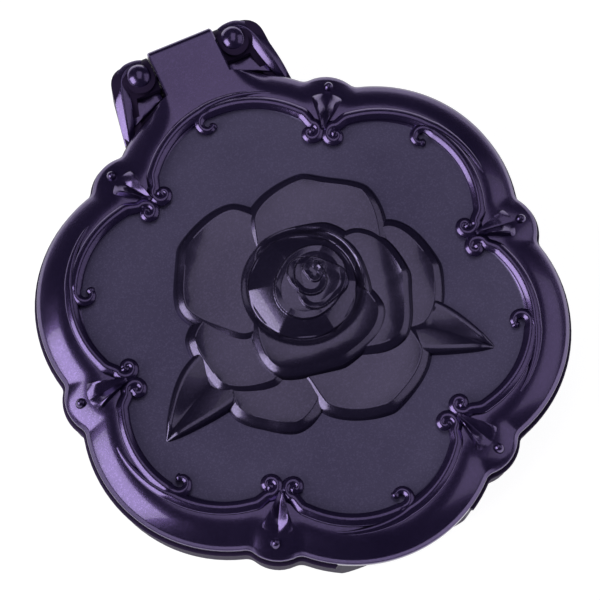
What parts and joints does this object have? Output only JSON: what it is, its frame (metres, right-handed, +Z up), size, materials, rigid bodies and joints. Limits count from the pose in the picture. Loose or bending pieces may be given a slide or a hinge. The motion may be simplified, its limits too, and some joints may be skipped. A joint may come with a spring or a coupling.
{
  "type": "powder compact",
  "caption": "Round powder compact with a lobed case, a hinged lid in scroll and rose relief, and a mirror, pressed powder and puff inside.",
  "frame": {"origin": "centre of the lobed body, on the flat underside that the compact rests on", "axes": "+Z up through the lid, +Y towards the hinge, so the thumb notch faces -Y and the hinge pin lies along X"},
  "size_m": [0.0734, 0.0835, 0.0151],
  "materials": {
    "case_lacquer": "gloss violet pearl lacquer on moulded plastic",
    "inner_plastic": "satin moulded plastic",
    "pin_steel": "drawn wire",
    "label_film": "blank satin label",
    "adhesive": "double-sided tape",
    "pan_aluminium": "pressed sheet",
    "powder": "pressed powder",
    "guard_film": "clear sheet",
    "puff_velour": "short pile velour",
    "puff_foam": "soft foam",
    "puff_satin": "satin weave",
    "puff_ribbon": "satin ribbon",
    "mirror": "silvered glass"
  },
  "bodies": {
    "base": {"base_shell": "case_lacquer", "base_label": "label_film", "hinge_pin": "pin_steel", "inner_tray": "inner_plastic", "pan_adhesive": "adhesive", "powder_pan": "pan_aluminium", "powder_cake": "powder", "powder_guard": "guard_film", "puff_velour_face": "puff_velour", "puff_foam_core": "puff_foam", "puff_satin_top": "puff_satin", "puff_edge_binding": "puff_satin", "puff_ribbon": "puff_ribbon"},
    "lid": {"lid_cover": "case_lacquer", "lid_inner_frame": "inner_plastic", "mirror_adhesive": "adhesive", "mirror_glass": "mirror"}
  },
  "joints": [
    {"name": "lid_hinge", "type": "hinge", "parent": "base", "child": "lid", "pos_m": [0, 0.0424, 0.0084], "axis": [-1, 0, 0], "range_deg": [0, 120]}
  ]
}
